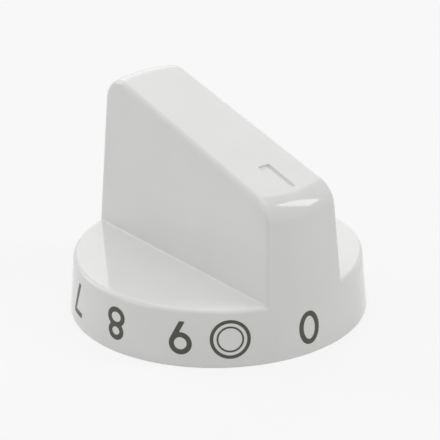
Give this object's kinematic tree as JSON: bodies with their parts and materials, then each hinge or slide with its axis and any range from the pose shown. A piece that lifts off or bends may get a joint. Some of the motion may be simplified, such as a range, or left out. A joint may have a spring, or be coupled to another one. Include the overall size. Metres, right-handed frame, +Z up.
{
  "type": "control knob",
  "caption": "White hob control knob: round skirt with a tall bar grip, sloping top with a recessed index mark, and a hollow underside with a D-shaped shaft socket.",
  "frame": {"origin": "centre of the skirt's foot, on the surface that the knob stands on", "axes": "+Z up along the shaft's axis, -Y towards the pointer end of the grip, X across the grip"},
  "size_m": [0.045, 0.045, 0.0328],
  "materials": {
    "knob_plastic": "glossy white moulded plastic",
    "spring_steel": "bright rolled spring strip"
  },
  "bodies": {
    "root": {"knob_body": "knob_plastic", "shaft_spring": "spring_steel"}
  },
  "joints": []
}
